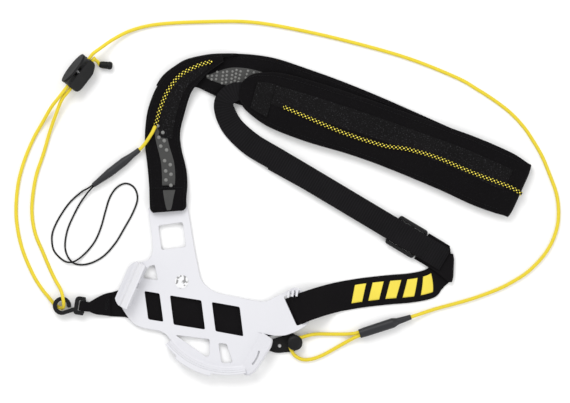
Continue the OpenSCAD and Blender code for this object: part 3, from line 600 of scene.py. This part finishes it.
tack_rows = []
for row in range(5):
    x = -85 + 0.6 * row
    tack_rows += [(x, -9.2, 3.45), (x + 0.3, 1.2, 3.45)][:: 1 if row % 2 else -1]
stitches("hook_tab_tack", tack_rows, 1.4, 0.28, ["hook_tab_tack"])
tail_tack = []
for row in range(4):
    ends = [Vector(run_pt(15 + row * 1.2, 0, 0)[:2]) + Vector((-RUN_DIR.y, RUN_DIR.x)) * w for w in (-8, 8)]
    tail_tack += [(p.x, p.y, 6.66) for p in (ends if row % 2 else ends[::-1])]
stitches("webbing_tack", tail_tack, 1.5, 0.26, ["webbing_tack"])

# ---------- padded strap ----------
LOW_Z, HIGH_Z, PAD_HALF = 2.6, 7.3, 2.2
RISER = [
    (-57, 79, -32, 85, 6.5), (-60, 82, -30, 88.4, 6.5), (-62, 91, -31, 96, 6.5),
    (-64, 101, -32, 107, 4.4), (-68, 117, -35, 120, 3), (-73, 135, -42, 137, 3),
    (-75, 150, -45, 150, 3.6), (-75, 166, -44, 165, 5), (-71, 184, -42, 180, 6.6),
    (-63, 199, -40, 187, HIGH_Z), (-49, 210, -36, 194, HIGH_Z), (-34, 216, -29, 204, HIGH_Z),
    (-20, 220, -18, 215, HIGH_Z),
]
LOWER = [
    (-62, 184, -66, 195, LOW_Z), (-52, 185, -57, 204, LOW_Z), (-45, 187, -49, 210, LOW_Z),
    (-38, 190, -34, 216, LOW_Z), (-26, 187, -20, 220, LOW_Z), (-12, 183, -5, 224, LOW_Z),
    (8, 180, 23, 225, LOW_Z), (42, 173, 55, 220, LOW_Z), (76, 166, 86, 214, LOW_Z),
    (110, 158, 120, 206, LOW_Z), (145, 149, 158, 196, LOW_Z), (178, 140, 192, 187, LOW_Z),
    (210, 131, 225, 179, LOW_Z), (230, 125, 243, 173, LOW_Z),
]
UPPER = [
    (230, 124, 243, 174, HIGH_Z), (209, 128, 232, 178, HIGH_Z), (177, 137, 200, 186, HIGH_Z),
    (131, 148, 150, 195, HIGH_Z), (99, 154, 112, 202, HIGH_Z), (61, 159, 70, 209, HIGH_Z),
    (29, 166, 34, 213, HIGH_Z), (12, 174, 16, 211, HIGH_Z), (4, 180, 6, 207, HIGH_Z),
    (-1, 188, 0, 200, HIGH_Z),
]
riser_run = edge_run(smooth(RISER, 6), 1)
lower_run = edge_run(smooth(LOWER, 6), -1)
upper_run = edge_run(smooth(UPPER, 6), 1)
strap_fold = fold_run((237.8, 123.2, 4.95), (250.8, 170.2, 4.95), (0.96, -0.27), 2.35, 1)


def wrinkle(size, depth, seed=0.0):
    """Soft unevenness of padded fabric, in mm."""
    return lambda run, f: depth * noise.noise(Vector((run / size + seed, f * 40 / size, seed)))


STRAP_SKINS = ["strap_foam", "strap_cover", "strap_lining", "strap_binding"]
riser = strip("strap_riser", riser_run, PAD_HALF - 0.15, edge=3.2, across=24, wave=wrinkle(9, 0.5))
finish_piece(riser, neoprene, ROOT, STRAP_SKINS)
long_run = lower_run + strap_fold + upper_run
long_strap = strip("strap_long", long_run, PAD_HALF - 0.15, edge=3.2, across=28, wave=wrinkle(11, 0.5, 5.0))
finish_piece(long_strap, neoprene, ROOT, STRAP_SKINS)
# Roll where the riser turns over into the lower run
CREASE = [(-71, 186), (-65.5, 194.5), (-57, 203), (-48.5, 210), (-34, 216), (-20, 220), (-6, 223.4)]
crease_path = [(x, y, (LOW_Z + HIGH_Z) / 2) for x, y in smooth(CREASE, 6)]
half_count = (len(crease_path) - 1) / 2
crease_sizes = []
for i in range(len(crease_path)):
    inwards = min(1, 1.6 * (1 - abs(i / half_count - 1)))
    crease_sizes.append(0.4 + 2.0 * math.sin(math.pi / 2 * inwards))
crease = tube("strap_crease", crease_path, crease_sizes, 16, squeeze=1.7)
finish_piece(crease, neoprene, ROOT, STRAP_SKINS)


def overlay(name, run, f0, f1, height, material, nodes, slot, wave=None, lift=PAD_HALF - 0.2, across=10):
    """Flat piece sewn on the strap's upper face between two fractions of its width."""
    obj = strip(name, run, height / 2, 4, across, f0, f1, lift + height / 2, wave)
    return finish_piece(obj, material, ROOT, nodes)


def band(run, f, lift):
    return [strip_point(s, f, lift) for s in run]


def part_of(run, start, end):
    return run[int(start * len(run)) : int(end * len(run))]


# Stitching of the edge tape, along both edges of each run
SEWN_RUNS = {"riser": riser_run, "lower": part_of(lower_run, 0.28, 1), "upper": part_of(upper_run, 0, 0.98)}
for label, run in SEWN_RUNS.items():
    for side, f in (("left", 0.075), ("right", 0.925)):
        face = 1 if label != "lower" else -1
        stitches(f"seam_{label}_{side}", band(run, f, face * (PAD_HALF - 0.05)), 2.6, 0.2)

CHANNEL_LOOK = (0.5, panel_knit, ["leash_channel"], "channel_mesh")
PATCH_LOOK = (0.8, panel_knit, ["strap_end_patch"], "patch_fabric")
upper_panel = part_of(upper_run, 0.02, 0.695)
riser_panel = part_of(riser_run, 0.46, 0.93)
patch_run = part_of(upper_run, 0.68, 0.80)
overlay("channel_panel_upper", upper_panel, 0.40, 0.76, *CHANNEL_LOOK, wrinkle(5, 0.25, 2))
overlay("channel_panel_riser", riser_panel, 0.36, 0.80, *CHANNEL_LOOK, wrinkle(5, 0.25, 3))
overlay("strap_end_patch", patch_run, 0.14, 0.78, *PATCH_LOOK, wrinkle(3, 0.3, 4))

# Rubber grip with raised dots on the riser, and its wedge below the seam
grip_rubber = moulded("grip_rubber", (0.030, 0.030, 0.029), 0.7, 0.0003, 0.0002)
grip_light = moulded("grip_light", (0.150, 0.150, 0.145), 0.6, 0.0004, 0.0001)


def tapered(run, starts, ends):
    """Stations of a piece whose two edges move from one pair of fractions of the width to another."""
    rows = []
    for i, station in enumerate(run):
        t = i / (len(run) - 1)
        left, right = (strip_point(station, a + (b - a) * t, 0) for a, b in zip(starts, ends))
        rows.append((*left, *right, *station[6:9]))
    return rows


grip_low, grip_high = part_of(riser_run, 0.25, 0.38), part_of(riser_run, 0.37, 0.53)
GRIP_FOOT, GRIP_MIDDLE, GRIP_TOP = (0.34, 0.68), (0.37, 0.72), (0.24, 0.60)
grip_run = tapered(grip_low, GRIP_FOOT, GRIP_MIDDLE) + tapered(grip_high, GRIP_MIDDLE, GRIP_TOP)[1:]
wedge_run = tapered(part_of(riser_run, 0.05, 0.235), (0.47, 0.57), (0.36, 0.69))
overlay("grip_panel", grip_run, 0, 1, 0.4, grip_rubber, ["grip_panel"], "grip_rubber", wrinkle(4, 0.3, 6))
overlay("grip_wedge", wedge_run, 0, 1, 0.4, grip_rubber, ["grip_panel"], "grip_rubber")


def bumps(name, places, radius, height, material, nodes=()):
    """Low domes at (point, up) places, in one mesh."""
    verts, faces = [], []
    for centre, up in places:
        side = up.orthogonal().normalized()
        other = up.cross(side)
        first = len(verts)
        for ring, (size, rise) in enumerate(((1, 0), (0.85, 0.6), (0.45, 0.95))):
            for k in range(10):
                turn = 2 * math.pi * k / 10
                arm = side * math.cos(turn) + other * math.sin(turn)
                verts.append(centre + arm * radius * size + up * height * rise)
        verts.append(centre + up * height)
        for ring in range(2):
            for k in range(10):
                p, q = first + ring * 10 + k, first + ring * 10 + (k + 1) % 10
                faces.append((p, q, q + 10, p + 10))
        for k in range(10):
            faces.append((first + 20 + k, first + 20 + (k + 1) % 10, first + 30))
        faces.append(tuple(first + k for k in range(9, -1, -1)))
    obj = new_object(name, verts, faces)
    return finish_piece(obj, material, ROOT, nodes)


dots = []
for i in range(12):
    station = grip_run[min(len(grip_run) - 1, int((i + 0.6) / 12.2 * len(grip_run)))]
    f = 0.30 if i % 2 else 0.68
    dots.append((strip_point(station, f, PAD_HALF + 0.2), vec(station[6:9]).normalized()))
bumps("grip_dots", dots, 1.7, 0.5, grip_light, ["grip_dots"])
seam_station = riser_run[int(0.24 * len(riser_run))]
seam_path = [strip_point(seam_station, f, PAD_HALF + 0.1) for f in (0.1, 0.3, 0.5, 0.7, 0.9)]
stitches("strap_seam_tape", seam_path, 1.8, 0.4, ["strap_seam_tape"])

# Grey lining with moulded dots that shows where the strap turns over
lens = [(-31, 201), (-22, 206), (-14, 210), (-6, 212), (4, 212.5), (16, 211.5)]
lens_low = [(-30, 199), (-22, 197), (-13, 195.5), (-6, 195), (2, 199), (15, 209)]
lens_run = edge_run(smooth([(*a, *b, LOW_Z) for a, b in zip(lens_low, lens)], 5), 1)
overlay("lining_patch", lens_run, 0, 1, 0.4, grip_rubber, [], "lining_fabric")
lens_dots = []
for i in range(11):
    for j in range(6):
        station = lens_run[min(len(lens_run) - 1, int((i + 0.5) / 11 * len(lens_run)))]
        width = (vec(station[0:3]) - vec(station[3:6])).length
        f = (j + (0.25 if i % 2 else 0.75)) * 3.1 / max(width, 1)
        if f < 0.95:
            lens_dots.append((strip_point(station, f, PAD_HALF + 0.2), Vector((0, 0, 1))))
bumps("lining_dots", lens_dots, 1.15, 0.35, grip_light, [])

# Leash under the mesh of its channel: yellow shows through the holes in two staggered rows
mesh_dots = Shader("mesh_dots", BLACK, 0.7, Specular_IOR_Level=0.1)
MESH_PITCH = 0.0024
holes = mesh_dots.node("ShaderNodeMapRange", From_Min=0.42, From_Max=0.54)
mesh_dots.link(mesh_dots.crossed(MESH_PITCH), holes.inputs["Value"])
mesh_dots.tint(holes.outputs["Result"], (0.95, 0.80, 0.10))
mesh_dots.bump(mesh_dots.maths("SUBTRACT", 1.0, holes.outputs["Result"]), 1.0, 0.0003)
RIDGE_RISER = [
    (-67.4, 148.6, 6.2), (-66, 156, 6.4), (-65, 166, 7.6), (-61, 182, 9), (-53, 197, 9.9),
    (-39, 208, 9.9), (-27, 213.6, 9.6),
]
RIDGE_UPPER = [
    (38, 185, 9.9), (61, 179, 9.9), (93, 171, 9.9), (126, 166, 9.9), (147, 166, 9.9), (173, 163, 9.9),
    (205, 155, 9.9), (238, 148, 9.9), (249, 143.5, 9.4),
]
for label, points in (("riser", RIDGE_RISER), ("upper", RIDGE_UPPER)):
    ridge = tube(f"leash_under_mesh_{label}", smooth([list(p) for p in points], 8), 1.65, 16, squeeze=0.6)
    finish_piece(ridge, mesh_dots.material, ROOT, ["leash_run"])

# Springs of the cord lock, from the bottom of their bores to the press button's plate
SPRING_FOOT, SPRING_TOP, SPRING_OFF, SPRING_TURNS = 0.9, -6.2, 4.75, 6
lock_across = LOCK_ALONG.cross(LOCK_PRESS).normalized()
for label, off in (("left", -SPRING_OFF), ("right", SPRING_OFF)):
    coil = []
    for k in range(SPRING_TURNS * 12 + 1):
        turn = 2 * math.pi * k / 12
        rise = SPRING_FOOT + (SPRING_TOP - SPRING_FOOT) * k / (SPRING_TURNS * 12)
        coil.append(lock_pt(0.8 * math.cos(turn), rise) + lock_across * (off + 0.8 * math.sin(turn)))
    spring = tube(f"lock_spring_{label}", coil, 0.24, 8)
    spring.data.materials.append(steel)
    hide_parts("lock_springs")
    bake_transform(spring)

# ---------- CAD nodes that stay, with their materials ----------
cradle_plastic = Shader("cradle_plastic", (0.67, 0.67, 0.70), 0.34, Specular_IOR_Level=0.35)
cradle_plastic.soft_edges(0.0007)
cradle_plastic.bump(cradle_plastic.noise(900, detail=2.0), 0.15, 0.00005)
cradle_plastic.rough(cradle_plastic.noise(60), 0.28, 0.45)
cradle_plastic.tint(cradle_plastic.noise(25), (0.60, 0.60, 0.635), 0.5)
paper = Shader("sticker_paper", (0.75, 0.75, 0.76), 0.5)
ink = paper.node("ShaderNodeMapRange", From_Min=0.54, From_Max=0.6)
paper.link(paper.noise(260, detail=1.0), ink.inputs["Value"])
paper.tint(ink.outputs["Result"], (0.12, 0.12, 0.12), 0.8)
paper.bump(paper.noise(1200), 0.2, 0.00003)


def dress(name, material):
    obj = node(name)
    obj.data.materials.clear()
    obj.data.materials.append(material)


for name, material in (
    ("cradle", cradle_plastic.material),
    ("cradle_label", paper.material),
    ("three_bar_slide", black_plastic),
    ("lock_body", black_plastic),
    ("lock_button", black_plastic),
    ("stopper_barrel", black_soft),
    ("stopper_cap", black_plastic),
    ("hook", black_plastic),
    ("button_head", black_plastic),
    ("button_tab", black_soft),
    ("leash_sleeve", shrink),
    ("waist_sleeve", shrink),
    ("leash_ferrule", steel),
    ("waist_ferrule", steel),
):
    dress(name, material)

# ---------- table and studio light ----------
floor_mesh = bpy.data.meshes.new("floor")
FLOOR_HALF = 4
corners = [(x * FLOOR_HALF, y * FLOOR_HALF, 0) for x, y in ((-1, -1), (1, -1), (1, 1), (-1, 1))]
floor_mesh.from_pydata(corners, [], [(0, 1, 2, 3)])
floor = bpy.data.objects.new("floor", floor_mesh)
bpy.context.scene.collection.objects.link(floor)
floor_shader = Shader("floor_white", (0.9, 0.9, 0.9), 0.9, Specular_IOR_Level=0.1)
floor_mesh.materials.append(floor_shader.material)

WORLD_LIGHT = 0.86
LIGHT_AIM = Vector((0.05, 0.1, 0))
world = bpy.data.worlds.new("studio")
world.use_nodes = True
world.node_tree.nodes["Background"].inputs["Color"].default_value = (1, 1, 1, 1)
world.node_tree.nodes["Background"].inputs["Strength"].default_value = WORLD_LIGHT
bpy.context.scene.world = world


def area_light(name, place, size, power):
    """Square soft light of that size in metres and power in watts."""
    data = bpy.data.lights.new(name, "AREA")
    data.size = size
    data.energy = power
    obj = bpy.data.objects.new(name, data)
    bpy.context.scene.collection.objects.link(obj)
    obj.location = place
    aim = LIGHT_AIM - Vector(place)
    obj.rotation_euler = aim.to_track_quat("-Z", "Y").to_euler()


area_light("key", (-0.7, 1.1, 1.3), 0.9, 16)
area_light("fill", (1.3, -0.4, 1.2), 1.2, 7)
